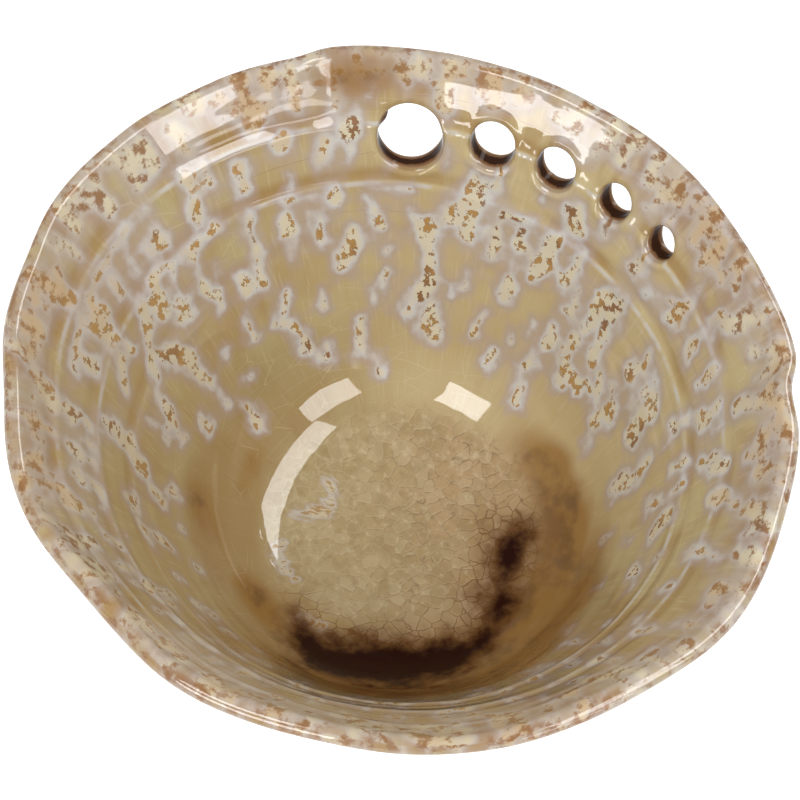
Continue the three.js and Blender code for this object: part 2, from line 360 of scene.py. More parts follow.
class Skin:
    """Points with their places on the bowl, and faces with the piece that each belongs to."""

    def __init__(self, clay):
        self.clay = clay
        self.points = []
        self.places = []
        self.faces = []
        self.pieces = []
        self.count = 0

    def add(self, points, theta, run, bore=0):
        """Adds points and returns their numbers."""
        flat = np.asarray(points).reshape(-1, 3)
        places = np.empty_like(flat)
        for column, values in enumerate((theta, run, bore)):
            places[:, column] = np.ravel(values)
        self.points.append(flat)
        self.places.append(places)
        self.count += len(flat)
        return np.arange(self.count - len(flat), self.count)

    def add_faces(self, corners, piece):
        self.faces.append(corners)
        self.pieces.append(np.full(len(corners), piece))

    def band(self, first, second, piece, keep=slice(None)):
        """Faces between two closed rings of points, the second further along the skin."""
        corners = np.stack([first, second, np.roll(second, -1), np.roll(first, -1)], axis=1)
        self.add_faces(corners[keep], piece)

    def fan(self, middle, ring, piece):
        """Triangles from a middle point to a closed ring, with -1 for the corner that they lack."""
        middles = np.full(len(ring), middle)
        lacking = np.full(len(ring), -1)
        self.add_faces(np.stack([middles, ring, np.roll(ring, -1), lacking], axis=1), piece)


def window(theta_steps, runs, theta, run, margin, radius):
    """Columns and rows of the grid that enclose a hole's mouth."""
    step = 2 * math.pi / theta_steps
    spread = margin / radius
    first_column = math.floor((theta.min() - spread) / step)
    last_column = math.ceil((theta.max() + spread) / step)
    rows = np.nonzero((runs > run.min() - margin) & (runs < run.max() + margin))[0]
    return first_column, last_column, rows[0], rows[-1]


def window_edge(first_column, last_column, low_row, high_row):
    """Columns and rows round a window: along its low side, up, back along its high side and down."""
    step = 1 if high_row > low_row else -1
    columns = np.arange(first_column, last_column)
    rows = np.arange(low_row, high_row, step)
    up = np.full(len(rows), last_column)
    down = np.full(len(rows), first_column)
    low = np.full(len(columns), low_row)
    high = np.full(len(columns), high_row)
    edge_columns = np.concatenate([columns, up, columns[::-1] + 1, down])
    return edge_columns, np.concatenate([low, rows, high, rows[::-1] + step])


EDGE_ROLL = 1.2
WINDOW_MARGIN = 1.6
# Darkness of a lining, 0 outside a hole and 1 in the middle of its bore
BORE_AT_MOUTH = 0.35
# Hole, angle round it, reach, and half angle of drops that hang into the holes
DROPS = [(0, 30, 1.7, 15), (1, 140, 0.8, 22), (2, 130, 0.7, 22), (0, 250, 0.5, 30)]
# Their middle and half width, as shares of the way through the wall
DROPS_ALONG = (0.3, 0.35)


def drop_reach(index, angle, share):
    """How far the glass of a hole's lining hangs into it."""
    reach = 0
    for hole, azimuth, size, spread in DROPS:
        if hole == index:
            reach = reach + size * bell(turn_from(angle, azimuth), 0, spread)
    return reach * bell(share, *DROPS_ALONG)


def weave_hole(made, index, grid, theta, run, edges, wider, inner_piece, outer_piece):
    """Fills the two windows of one hole: from the inside to its mouth, through the wall and out."""
    hole = HOLE_FRAMES[index]
    clay = made.clay
    radius = hole.radius + wider
    lining = f"hole_lining_{index + 1}" if not clay else "clay"
    mouths = []
    for edge, start in zip(edges, hole.runs):
        across, up, _ = skin_in_hole(hole, theta[edge], run[edge], clay).T
        angle = np.unwrap(np.arctan2(up, across))
        mouth = meet(hole, radius + EDGE_ROLL, angle, start, clay)
        corner = meet(hole, radius, angle, start, clay)
        mouths.append(SimpleNamespace(
            numbers=grid[edge], edge_theta=theta[edge], edge_run=run[edge], angle=angle,
            theta=mouth[0], run=mouth[1], out=skin_in_hole(hole, *mouth, clay)[:, 2],
            corner=skin_in_hole(hole, *corner, clay)[:, 2],
        ))
    inner, outer = mouths
    outer.angle = outer.angle + 2 * math.pi * np.round((inner.angle - outer.angle).mean() / (2 * math.pi))

    def to_mouth(mouth, share):
        ring_theta = mix(mouth.edge_theta, mouth.theta, share)
        ring_run = mix(mouth.edge_run, mouth.run, share)
        return made.add(skin(ring_theta, ring_run, clay), ring_theta, ring_run)

    def round_hole(mouth, angle, ring_radius, out, bore):
        local = np.stack([ring_radius * np.cos(angle), ring_radius * np.sin(angle), out], axis=-1)
        return made.add(local @ hole.axes + hole.middle, mouth.theta, mouth.run, bore)

    def rolled(mouth, side, share):
        """A ring on the rounded edge: 0 at the mouth and 1 inside the hole."""
        ring_radius = (1 - share) ** 2 * (radius + EDGE_ROLL) + (1 - (1 - share) ** 2) * radius
        out = (1 - share) ** 2 * mouth.out + 2 * share * (1 - share) * mouth.corner
        out = out + share ** 2 * (mouth.corner + side * EDGE_ROLL)
        return round_hole(mouth, mouth.angle, np.full(len(out), ring_radius), out, BORE_AT_MOUTH * share ** 2)

    shares = np.linspace(0, 1, MOUTH_RINGS)[1:]
    rolls = np.linspace(0, 1, ROLL_RINGS)[1:]
    rings = [(inner.numbers, inner_piece)]
    rings += [(to_mouth(inner, share), inner_piece) for share in shares]
    rings += [(rolled(inner, 1, share), lining) for share in rolls]
    for share in np.linspace(0, 1, BORE_RINGS)[1:-1]:
        angle = mix(inner.angle, outer.angle, share)
        out = mix(inner.corner + EDGE_ROLL, outer.corner - EDGE_ROLL, share)
        hang = 0 if clay else drop_reach(index, angle, share)
        bore = mix(BORE_AT_MOUTH, 1, math.sin(math.pi * share))
        rings.append((round_hole(inner, angle, radius - hang, out, bore), lining))
    rings += [(rolled(outer, -1, share), lining) for share in rolls[::-1]]
    rings.append((to_mouth(outer, 1), lining))
    rings += [(to_mouth(outer, share), outer_piece) for share in shares[-2::-1]]
    rings.append((outer.numbers, outer_piece))
    for (first, _), (second, piece) in zip(rings[:-1], rings[1:]):
        made.band(first, second, piece)


def weave(clay, theta_steps, runs, sinks, run_shift, piece_of, wider, pole_at_end):
    """A whole skin: a grid over theta and run, with a window for each mouth of each hole."""
    made = Skin(clay)
    theta = np.repeat(np.arange(theta_steps)[:, None] * 2 * math.pi / theta_steps, len(runs), axis=1)
    run = np.repeat(runs[None, :], theta_steps, axis=0) + run_shift(theta)
    points = skin(theta, run, clay, sinks)
    grid = made.add(points, theta, run).reshape(theta_steps, len(runs))
    cut = np.zeros((theta_steps, len(runs)), bool)
    round_angles = np.linspace(0, 2 * math.pi, 60)
    for index, hole in enumerate(HOLE_FRAMES):
        windows = []
        for start in hole.runs:
            mouth = meet(hole, hole.radius + wider + EDGE_ROLL, round_angles, start, clay)
            windows.append(window(theta_steps, runs, *mouth, WINDOW_MARGIN, hole.middle[1]))
        height = max(last - first for _, _, first, last in windows)
        width = max(last - first for first, last, _, _ in windows)
        edges = []
        for (first_column, last_column, first_row, last_row), outside in zip(windows, (False, True)):
            first_column -= (width - last_column + first_column) // 2
            first_row -= (height - last_row + first_row) // 2
            last_column = first_column + width
            last_row = first_row + height
            cut[first_column:last_column, first_row:last_row] = True
            low, high = (last_row, first_row) if outside else (first_row, last_row)
            edges.append(window_edge(first_column, last_column, low, high))
        weave_hole(made, index, grid, theta, run, edges, wider, *map(piece_of, hole.runs))
    for row in range(len(runs) - 1):
        middle = mix(runs[row], runs[row + 1], 0.5)
        made.band(grid[:, row], grid[:, row + 1], piece_of(middle), ~cut[:, row])
    poles = [(0.0, grid[:, 0])]
    if pole_at_end:
        poles.append((outside_run(0.0), grid[::-1, -1]))
    for pole_run, ring in poles:
        pole = made.add(skin(np.zeros(1), np.full(1, pole_run), clay), 0, pole_run)[0]
        made.fan(pole, ring, piece_of(pole_run))
    return made


def finished(made):
    """The points, places and normals of a skin, with its faces and pieces."""
    points = np.vstack(made.points)
    places = np.vstack(made.places)
    faces = np.vstack(made.faces)
    pieces = np.concatenate(made.pieces)
    fourth = np.where(faces[:, 3] < 0, faces[:, 0], faces[:, 3])
    face_normals = np.cross(points[faces[:, 2]] - points[faces[:, 0]], points[fourth] - points[faces[:, 1]])
    normals = np.zeros_like(points)
    for corner in (faces[:, 0], faces[:, 1], faces[:, 2], fourth):
        np.add.at(normals, corner, face_normals)
    lengths = np.linalg.norm(normals, axis=1, keepdims=True)
    return points, places, normals / np.maximum(lengths, 1e-12), faces, pieces


# The running glaze
# Each pale run goes from an azimuth and a depth below the lip to another, with a half width

RUNS_INSIDE = [
    # from the lip
    (3, 0, 4, 9, 1.8), (7, 0, 7, 11, 2), (12, 0, 13, 10, 1.6), (17, 0, 21, 14, 2.2), (21, 14, 26, 29, 2.2),
    (12.5, 17, 15.5, 30, 2.4), (27, 0, 28, 14, 2.2), (31, 6, 31.5, 19, 1.8), (34, 0, 33.5, 12, 1.8),
    (38, 4, 42, 23, 2.6), (46, 0, 45, 5, 2.4), (47.5, 3, 49, 12, 2), (55, 10, 56.5, 17, 3.4),
    (59, 18, 60, 25, 1.8), (63, 0, 64, 12, 2.2), (66, 19, 66, 23, 1.5), (68.5, 5, 69, 17, 1.8),
    (72.5, 0, 73, 13, 2.4), (76.5, 2, 76.5, 9, 2), (82, 0, 81.5, 5, 1.6), (82.5, 10, 84, 19, 2.2),
    (86.5, 2, 86, 12, 2.8), (92, 0, 92.5, 12, 2.2), (96, 0, 96.5, 9, 2.4), (101.5, 2, 102.5, 11, 2.8),
    (98.8, 15, 98.8, 18, 1.4), (113.5, 0, 113.3, 10, 1.8), (117.5, 4, 117, 13, 3), (123, 0, 123, 6, 1.6),
    (125.5, 4, 125.6, 18, 1.6), (131, 0, 130.5, 6, 2.2), (145, 12, 145, 19, 2.6), (151.5, 0, 151.8, 16, 2.6),
    (156, 2, 155.5, 12, 2.2), (160, 0, 159.5, 17, 3.6), (163.5, 5, 162, 12, 2.4), (168, 0, 167.5, 5, 2.4),
    (172.5, 8, 172, 17, 3.2), (178, 0, 178.5, 14, 2.2), (182, 11, 182, 17, 2.4), (187.5, 0, 188.5, 15, 2.6),
    (195, 0, 195.5, 11, 2.4), (199, 5, 198.5, 15, 1.6), (207, 0, 206.5, 18, 3), (214.5, 5, 214.5, 12, 2.4),
    (220, 0, 219, 8, 2), (223, 9, 226, 18, 3.4), (231, 4, 232, 19, 2), (238, 4, 238, 10, 2.2),
    (242, 0, 242, 17, 2.2), (245.5, 17, 245.5, 23, 2.6), (252, 6, 253, 19, 2.4), (258, 0, 258, 12, 2),
    # from the first turn of the ledge
    (8, 33, 8, 36, 2), (15, 31, 15, 34, 2), (26, 30.5, 26, 33, 2.6), (32, 30, 33, 35, 2.6),
    (35, 35, 35.5, 42, 2.2), (45, 32, 44, 41, 2.6), (52, 30, 51.5, 40, 2.2), (59, 30, 59, 38, 2.4),
    (65.5, 30, 67, 39, 3.2), (79, 30, 80, 38, 2.2), (72, 38, 74, 41, 2.4), (89, 31, 89, 37, 2.2),
    (96, 33, 95, 41, 3.4), (113.5, 33, 114, 40, 2.2), (118.5, 37, 118.5, 42, 2.8), (142, 23, 143, 26, 3.6),
    (148, 27, 148.5, 33, 3), (155, 23, 156, 26, 3), (164.5, 28, 165, 37, 2.8), (170.5, 21, 171, 29, 2.4),
    (174.5, 23, 175.5, 37, 3), (183.5, 23, 190, 23.5, 1.6), (192, 24, 200, 24, 2), (203, 24, 205, 32, 2.2),
    (207.5, 25, 217, 27, 2.2), (185, 29, 184.5, 36, 2.4), (188, 31, 187.5, 35, 1.6),
    (191.5, 30, 192, 35, 1.6),
    (197.5, 29, 197.5, 35, 1.6), (207, 30, 206, 37, 3.2), (213.5, 28, 214, 36, 3), (225.5, 24, 226, 27, 3),
    (233, 24, 233.5, 28, 2.6), (238, 25, 239, 28, 2.4), (245, 25, 246, 28, 2.4), (225, 31, 225.5, 36, 2.2),
    (230, 32, 230, 36, 1.6), (238, 32, 239, 37, 2.6), (250, 30, 251, 36, 2.2), (258, 24, 257, 33, 2.2),
    # from the second turn of the ledge
    (47, 49, 48, 56, 2.2), (38.5, 50, 38.5, 58, 2.4), (33.5, 51, 33, 57, 2.4), (27, 56, 25, 63, 4),
    (66, 54, 64, 60, 3), (60, 58, 56, 64, 2.6), (78.5, 50, 78.5, 59, 2.6), (82, 52, 83, 62, 3),
    (91, 46, 92.5, 60, 3.4), (97, 47, 98, 50, 3), (98.5, 51, 99, 60, 3.2), (99, 60, 101, 66, 2.6),
    (105, 47.5, 111, 49, 1.8), (106, 52, 106, 57, 3), (112, 50, 111.5, 66, 2.2), (117, 47, 121, 49.5, 1.8),
    (118, 52, 118, 61, 3), (122.5, 52, 123, 57, 3), (131.5, 47, 140, 46.5, 1.2), (147, 45, 147.5, 49, 3.2),
    (151, 46, 158, 45, 1), (165.5, 44, 166, 45, 1.6), (173, 43, 179, 43.5, 1.6), (182, 42, 190, 41.5, 1),
    (190.5, 42, 193, 50, 3.2), (196, 44, 198, 50, 2.4), (186, 44, 187.5, 53, 1.4),
    (180.5, 46, 181.5, 58, 2.2),
    (205, 42, 204, 49, 2.8), (207, 44, 212, 51, 2.6), (222.5, 43, 222.5, 51, 3.2),
    # lower on the wall
    (55.5, 62, 54, 78, 3.4), (60, 62, 60, 65, 2.4), (65.5, 62, 65.5, 68, 2.8), (78.5, 64, 78, 79, 2.6),
    (82, 68, 84.5, 78, 3), (88, 66, 88.5, 70, 2.4), (61.5, 71, 61, 74, 2), (68, 78, 63, 86, 3),
    (73, 80, 70, 86, 2.6), (75.5, 86, 77.5, 91, 2.4), (66, 88, 66.5, 94, 2.2), (84, 86, 83.5, 94, 3),
    (89.5, 82, 89.5, 86, 2.2), (44.5, 86, 45, 94, 3), (43.5, 78, 43, 82, 2.2), (45, 70, 44, 75, 2.6),
    (32.5, 67, 33, 71, 2.4), (14, 62, 15.5, 67, 2.6), (31.5, 92, 31, 97, 1.8), (63, 99, 63, 102, 1.8),
    (131, 57, 127.5, 67, 2.8), (127, 68, 126, 79, 2.2), (126, 80, 127, 85, 2.2), (128, 86, 132.5, 94, 1.8),
    (125, 92, 124, 101, 4), (141, 50, 137.5, 61, 2.4), (144, 62, 148, 74, 3.2), (151.5, 56, 152, 62, 2.8),
    (159, 51, 159, 56, 3), (167, 48, 167, 56, 2.2), (168, 65, 168, 69, 2.4), (172.5, 62, 173, 68, 1.8),
    (179.5, 63, 180, 67, 1.8), (106.5, 65, 106, 79, 2.6), (117, 75, 117, 81, 1.6), (137, 77, 138.5, 84, 1.4),
    (91, 80, 91, 88, 2.2), (96.5, 83, 97, 88, 1.8), (110, 87, 112, 98, 1.4), (93, 95, 94, 100, 2.8),
    (104, 101, 106, 107, 2), (163, 76, 167, 86, 1.8), (164, 89, 161.5, 101, 2.6), (156.5, 103, 157, 106, 2.6),
    (176, 76, 176, 85, 2), (93, 106, 92, 113, 3), (145, 96, 146, 108, 2.2), (142, 110, 141, 116, 1.6),
    (188.5, 56, 188.3, 62, 2.2), (200, 53, 204, 63, 2.6), (197, 63, 194.5, 73, 3.6),
    (195, 73, 193.5, 85, 2.6),
    (207, 66, 208.5, 78, 2.4), (209, 78, 211, 86, 2), (223, 53, 222, 59, 2.8), (226, 60, 226, 67, 3.6),
    (236.5, 53, 236.5, 59, 2.8), (230, 72, 231, 79, 3), (243, 58, 246, 62, 2), (242, 62, 244, 77, 2.2),
    (202, 90, 201.5, 97, 2), (188, 104, 188, 112, 2.6), (183, 95, 182, 97, 1.4), (227, 82, 226, 86, 2.4),
    # blots in the well
    (212, 138, 207, 146, 2.6), (198, 148, 186, 144, 2.4), (230, 134, 234, 133, 2.2),
    (238, 133, 242, 133, 1.8),
    (246, 133, 250, 135, 1.8), (270, 129, 277, 130, 2.8),
]


def scattered_runs(seed, first_azimuth, last_azimuth, rows):
    """Runs placed by chance, in rows of spacing, top, spread, length and half width."""
    chance = np.random.default_rng(seed)
    made = []
    for spacing, top, spread, length, width in rows:
        azimuth = first_azimuth
        while azimuth < last_azimuth:
            start = max(0, top + spread * chance.uniform(-1, 1))
            end = start + length * chance.uniform(0.3, 1.3)
            end_azimuth = azimuth + chance.uniform(-1, 1)
            made.append((azimuth, start, end_azimuth, end, width * chance.uniform(0.6, 1.3)))
            azimuth += spacing * chance.uniform(0.5, 1.5)
    return made


NEAR_RUNS = scattered_runs(5, 261, 359, [
    (4.5, 0, 1, 13, 2), (6, 22, 5, 12, 2.2), (7, 43, 5, 12, 2.4), (10, 66, 8, 12, 2.4),
])
SMALL_RUNS = scattered_runs(8, 0, 359, [
    (3.6, 2, 2, 6, 1.2), (5, 9, 4, 5, 1), (9, 34, 7, 5, 0.9), (10, 60, 9, 6, 1), (14, 84, 9, 6, 1),
])
OUTSIDE_RUNS = scattered_runs(3, 0, 359, [
    (3.8, 0, 1, 12, 2), (6, 18, 6, 13, 2.4), (7, 36, 6, 14, 2.6), (9, 56, 8, 14, 2.6), (13, 78, 8, 12, 2.4),
])
# How softly runs that touch flow into each other, and how far from a run its edge is still worked out
RUN_BLEND = 1.6
RUN_REACH = 14
RUN_REACH_DEGREES = 18
DEEPEST_IN_RUN = -6
# Share of its width that a run has where it starts and where it ends
RUN_WIDENS = (0.8, 1.15)


def run_edge(theta, below, radius, runs):
    """Distance from the edge of the nearest pale run, negative inside it."""
    total = np.zeros(len(theta))
    for azimuth, top, end_azimuth, bottom, width in runs:
        turn = turn_from(theta, azimuth)
        in_depth = (below > top - RUN_REACH) & (below < bottom + RUN_REACH)
        near = np.nonzero((np.abs(turn) < RUN_REACH_DEGREES) & in_depth)[0]
        across = np.radians(turn[near]) * radius[near]
        slant = np.radians(end_azimuth - azimuth) * radius[near]
        down = below[near] - top
        length = bottom - top
        share = np.clip((across * slant + down * length) / (slant ** 2 + length ** 2), 0, 1)
        gap = np.hypot(across - share * slant, down - share * length) - width * mix(*RUN_WIDENS, share)
        total[near] += np.exp(-gap / RUN_BLEND)
    return np.clip(-RUN_BLEND * np.log(np.maximum(total, 1e-9)), DEEPEST_IN_RUN, RUN_REACH)


# Middle line of the dark crescent along the near side of the pool, and its half width: dark brown glaze with
# painted shade under the near wall
FAR_FROM_DARK = 20.0
DARK_CRESCENT_AND_SHADE = [
    (-1, -46, 1), (5, -50, 3), (15, -49, 7), (25, -43, 9), (33, -37, 10), (40, -27, 8), (46, -14, 5),
    (45, -4, 2), (40, 4, 5), (36, 10, 1), (32, 17, 4), (28, 23, 4), (26, 26, 1),
]
# Azimuth, depth below the lip, half angle, reach down and strength of patches of brown glass, which low on
# the near side are also painted shade
BROWN_GLAZE_AND_SHADE = [
    (322, 96, 42, 18, 1), (38, 122, 40, 14, 1.3), (14, 124, 28, 10, 1.4), (256, 117, 13, 8, 0.8),
    (12, 106, 32, 18, 0.6), (204, 118, 14, 6, 0.4), (226, 104, 26, 14, 0.45), (141, 9, 9, 8, 0.6),
]


def dark_edge(points):
    """Distance across the floor from the edge of the dark crescent, negative inside it."""
    nearest = np.full(len(points), FAR_FROM_DARK)
    for (x, y, width), (next_x, next_y, next_width) in zip(DARK_CRESCENT_AND_SHADE[:-1], DARK_CRESCENT_AND_SHADE[1:]):
        ahead = np.array([next_x - x, next_y - y])
        from_start = points[:, :2] - (x, y)
        share = np.clip(from_start @ ahead / (ahead @ ahead), 0, 1)
        gap = np.linalg.norm(from_start - share[:, None] * ahead, axis=1) - mix(width, next_width, share)
        nearest = np.minimum(nearest, gap)
    return nearest


def brown_and_shade_strength(theta, below):
    thickest = np.zeros(len(theta))
    for azimuth, depth, half_angle, reach, glass_and_shade in BROWN_GLAZE_AND_SHADE:
        fade = bell(turn_from(theta, azimuth), 0, half_angle) * bell(below, depth, reach)
        thickest = np.maximum(thickest, glass_and_shade * fade)
    return thickest


# Radius of the cylinder that the flow down the wall is drawn on, and the fade of the pool round its end
FLOW_RADIUS = 90
POOL_FADE = (-7, 4)


def glaze_fields(theta, run, points):
    """Values at the points of a skin that its material reads."""
    below = below_lip(run)
    inside = run < LIP_RUN
    radius = np.hypot(points[:, 0], points[:, 1])
    edge = np.where(
        inside, run_edge(theta, below, radius, RUNS_INSIDE + NEAR_RUNS + SMALL_RUNS),
        run_edge(theta, below, radius, OUTSIDE_RUNS),
    )
    return {
        "flow": np.stack([FLOW_RADIUS * np.cos(theta), FLOW_RADIUS * np.sin(theta), run], axis=-1),
        "below": below,
        "run_edge": edge,
        "past_ledge": past_ledge(theta, run),
        "ledge": ledge_fade(run),
        # brown glass, and painted shade low on the near side
        "brown": np.where(inside, brown_and_shade_strength(theta, below), 0),
        "dark_edge": np.where(inside, dark_edge(points), FAR_FROM_DARK),
        "pool": np.where(inside, 1 - smooth(run - POOL_END, *POOL_FADE), 0),
    }


def make_piece(name, points, faces, normals=None, attributes=None):
    """A smooth mesh object from points in mm, with values kept at its points."""
    mesh = bpy.data.meshes.new(name)
    corners = [[int(c) for c in face if c >= 0] for face in faces]
    mesh.from_pydata((points * MM).tolist(), [], corners)
    mesh.shade_smooth()
    for key, values in (attributes or {}).items():
        kind = "FLOAT_VECTOR" if values.ndim == 2 else "FLOAT"
        layer = mesh.attributes.new(key, kind, "POINT")
        slot = "vector" if values.ndim == 2 else "value"
        layer.data.foreach_set(slot, values.astype(np.float32).ravel())
    if normals is not None:
        mesh.normals_split_custom_set_from_vertices(normals.tolist())
    return placed(name, mesh)


def cut_pieces(made):
    """The pieces of a skin as objects, by name."""
    points, places, normals, faces, pieces = finished(made)
    objects = {}
    for name in dict.fromkeys(pieces.tolist()):
        own = faces[pieces == name]
        used = np.unique(own[own >= 0])
        renumber = np.full(len(points) + 1, -1)
        renumber[used] = np.arange(len(used))
        theta, run, bore = places[used].T
        fields = {} if made.clay else {"bore": bore, **glaze_fields(theta, run, points[used])}
        objects[name] = make_piece(name, points[used], renumber[own], normals[used], fields)
    return objects


# Glass

# Slow waves of the outside glaze's lower edge
LINE_WAVES = [(0.9, 3, 0.5), (0.6, 7, 1.9), (0.3, 16, 0)]
# Azimuth, reach and half angle of its drops
LINE_DROPS = [
    (14, 2.6, 3), (61, 4.2, 2.2), (118, 1.8, 4), (171, 3.4, 2.5), (233, 4.8, 2), (262, 2.2, 4), (318, 3.2, 3),
]
LINE_WAVE_REACH = 28
# The lower edge is rolled under over this much of the wall, to this depth
LINE_ROLL = 0.9
LINE_ROLL_DEPTH = 1.1


def line_wave(theta):
    """How far the lower edge of the outside glaze runs past its line, round the bowl."""
    wave = waves(theta, LINE_WAVES)
    for azimuth, reach, spread in LINE_DROPS:
        wave = wave + reach * bell(turn_from(theta, azimuth), 0, spread)
    return wave


outside_along = np.linspace(POOL_END, LENGTH, 2000)
_, outside_z, head_r, _ = on_inside(outside_along)
LINE_ALONG = np.interp(GLAZE_LINE, outside_z - head_r * glass_outside(outside_along), outside_along)
LINE_RUN = outside_run(LINE_ALONG)
BEAD_RUN = LENGTH - RIM_BEAD_REACH


def glass_piece(run):
    if run < POOL_END:
        return "well_pool"
    if run < BEAD_RUN:
        return "glaze_inside"
    if run < outside_run(BEAD_RUN):
        return "glaze_rim"
    return "glaze_outside"


pool_rows = np.linspace(GLASS_POLE, POOL_END, GLASS_ROWS["pool"])
wall_rows = np.linspace(POOL_END, BEAD_RUN, GLASS_ROWS["wall"])
bead_rows = np.linspace(BEAD_RUN, LENGTH, GLASS_ROWS["bead"])
lip_rows = np.linspace(LENGTH, LENGTH + LIP_TURN, GLASS_ROWS["lip"])
down_rows = outside_run(np.concatenate([wall_rows[wall_rows > LINE_ALONG], bead_rows[1:-1]]))[::-1]
roll = np.linspace(0, math.pi / 2, GLASS_ROWS["roll"])
roll_rows = LINE_RUN + LINE_ROLL * np.sin(roll)
glass_runs = np.concatenate([pool_rows, wall_rows[1:], bead_rows[1:], lip_rows[1:], down_rows, roll_rows])
glass_sinks = np.concatenate([np.zeros(len(glass_runs) - len(roll)), LINE_ROLL_DEPTH * (1 - np.cos(roll))])


def glass_shift(theta):
    return line_wave(theta) * smooth(glass_runs[None, :], LINE_RUN - LINE_WAVE_REACH, LINE_RUN)


glass = weave(
    clay=False, theta_steps=GLASS_TURN_STEPS, runs=glass_runs, sinks=glass_sinks, run_shift=glass_shift,
    piece_of=glass_piece, wider=0, pole_at_end=False,
)
pieces = cut_pieces(glass)

# Clay

clay_floor = np.linspace(CLAY_POLE, POOL_END, CLAY_ROWS["floor"])
clay_inner = np.concatenate([clay_floor, np.linspace(POOL_END, LENGTH, CLAY_ROWS["wall"])[1:]])
clay_lip = np.linspace(LENGTH, LENGTH + LIP_TURN, CLAY_ROWS["lip"])[1:]
clay_outer = outside_run(clay_inner[-2::-1])
clay_runs = np.concatenate([clay_inner, clay_lip, clay_outer])
clay = weave(
    clay=True, theta_steps=CLAY_TURN_STEPS, runs=clay_runs, sinks=0, run_shift=lambda theta: 0,
    piece_of=lambda run: "clay", wider=HOLE_LINING + GAP, pole_at_end=True,
)
pieces.update(cut_pieces(clay))

# Foot

FOOT_INNER_EDGE = 1.6
FOOT_OUTER_EDGE = 2
FOOT_IN_FLOOR = 0.3
# Distance out from the foot's side and below the floor, along the swell where they join
FOOT_SWELL = [(0, 1.8), (0.25, 0.7), (0.9, 0.1), (2, -0.3)]
# Waves of its worn side, which fade out towards the table
FOOT_WAVES = [(0.12, 5, 1), (0.08, 11, 0)]
FOOT_WAVES_FADE = (0, 3)


def foot_piece():
    """The ring that the bowl stands on, with worn edges and a small swell where it joins the floor."""
    outer = FOOT_DIAMETER / 2
    inner = outer - FOOT_WIDTH
    under_r, under_z, _, _ = section(outside_run(np.linspace(0, POOL_END, 400)), True)
    profile = [(inner, np.interp(inner, under_r, under_z) + FOOT_IN_FLOOR), (inner, FOOT_INNER_EDGE)]
    turn = np.linspace(0, math.pi / 2, 6)[1:]
    edge = FOOT_INNER_EDGE
    profile += [(inner + edge * (1 - math.cos(a)), edge * (1 - math.sin(a))) for a in turn]
    edge = FOOT_OUTER_EDGE
    profile += [(outer - edge, 0)]
    profile += [(outer - edge + edge * math.sin(a), edge * (1 - math.cos(a))) for a in turn]
    for past, short in FOOT_SWELL:
        profile.append((outer + past, np.interp(outer + past, under_r, under_z) - short))
    profile = np.array(profile)
    theta = np.arange(FOOT_TURN_STEPS) * 2 * math.pi / FOOT_TURN_STEPS
    wear = waves(theta, FOOT_WAVES)
    radius = profile[None, :, 0] + wear[:, None] * smooth(profile[None, :, 1], *FOOT_WAVES_FADE)
    points = np.stack([
        radius * np.cos(theta)[:, None], radius * np.sin(theta)[:, None],
        np.repeat(profile[None, :, 1], FOOT_TURN_STEPS, axis=0),
    ], axis=-1).reshape(-1, 3)
    grid = np.arange(len(points)).reshape(FOOT_TURN_STEPS, -1)
    after = np.roll(grid, -1, axis=0)
    faces = np.stack([grid[:, :-1], after[:, :-1], after[:, 1:], grid[:, 1:]], axis=-1).reshape(-1, 4)
    return make_piece("foot", points, faces)


pieces["foot"] = foot_piece()

REPLACED = {
    "well_pool": "well_glaze_pool", "glaze_inside": "inner_glaze", "glaze_rim": "rim_glaze",
    "glaze_outside": "outer_glaze", "clay": "clay_body", "foot": "foot_ring",
}
for number in range(1, len(HOLES) + 1):
    REPLACED[f"hole_lining_{number}"] = f"hole_glaze_{number}"


# Materials

def srgb(red, green, blue):
    """A colour as read from a screen, as a shader takes it."""
    shares = [value / 255 for value in (red, green, blue)]
    return tuple(v / 12.92 if v < 0.04045 else ((v + 0.055) / 1.055) ** 2.4 for v in shares) + (1,)


